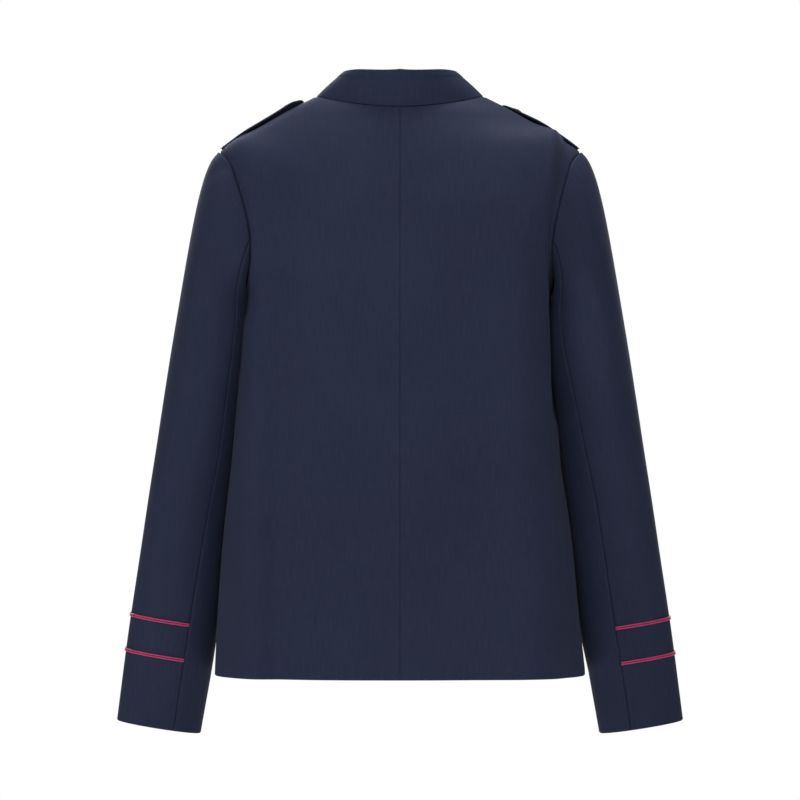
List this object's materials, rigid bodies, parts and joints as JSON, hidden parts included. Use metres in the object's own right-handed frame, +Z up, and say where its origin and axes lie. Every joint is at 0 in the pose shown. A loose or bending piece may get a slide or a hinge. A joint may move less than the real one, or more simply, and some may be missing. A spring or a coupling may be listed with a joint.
{
  "type": "military-style jacket",
  "caption": "Hollow, filled-out stand-collar jacket with shoulder straps, buttoned front, set-in two-piece sleeves and braided cuffs.",
  "frame": {"origin": "level with the side of the neck, midway between the shoulders, where the wearer carries the jacket", "axes": "+Z up, the front faces -Y and the back +Y, the wearer's left is +X"},
  "size_m": [0.6001, 0.2308, 0.6978],
  "materials": {
    "navy_gabardine": "smooth fine-woven suiting with a soft sheen",
    "crimson_braid": "shiny rayon braid",
    "brass_buttons": "polished plated metal"
  },
  "bodies": {
    "root": {"back_left": "navy_gabardine", "back_right": "navy_gabardine", "front_left": "navy_gabardine", "front_right": "navy_gabardine", "sleeve_upper_left": "navy_gabardine", "sleeve_upper_right": "navy_gabardine", "sleeve_under_left": "navy_gabardine", "sleeve_under_right": "navy_gabardine", "collar": "navy_gabardine", "epaulette_left": "navy_gabardine", "epaulette_right": "navy_gabardine", "braid_upper_left": "crimson_braid", "braid_upper_right": "crimson_braid", "braid_lower_left": "crimson_braid", "braid_lower_right": "crimson_braid", "front_button_1": "brass_buttons", "front_button_2": "brass_buttons", "front_button_3": "brass_buttons", "front_button_4": "brass_buttons", "front_button_5": "brass_buttons", "front_button_6": "brass_buttons", "epaulette_button_left": "brass_buttons", "epaulette_button_right": "brass_buttons"}
  },
  "joints": []
}
